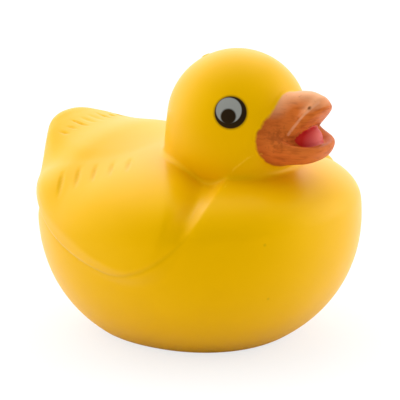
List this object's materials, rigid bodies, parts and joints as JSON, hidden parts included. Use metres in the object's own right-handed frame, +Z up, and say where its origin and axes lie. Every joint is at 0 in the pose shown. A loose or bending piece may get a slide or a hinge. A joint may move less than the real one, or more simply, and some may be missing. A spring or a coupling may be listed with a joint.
{
  "type": "squeeze foam duck",
  "caption": "Soft one-piece foam duck for squeezing in the hand, with a flat base, folded wings, an upturned tail and an open beak.",
  "frame": {"origin": "middle of the flat base that the duck stands on", "axes": "+X forward, where the beak points; +Y to the duck's left; +Z up"},
  "size_m": [0.0887, 0.082, 0.0761],
  "materials": {
    "foam_skin": "satin skin of soft polyurethane foam, yellow; beak and tongue painted, eyes printed"
  },
  "bodies": {
    "root": {"duck": "foam_skin"}
  },
  "joints": []
}
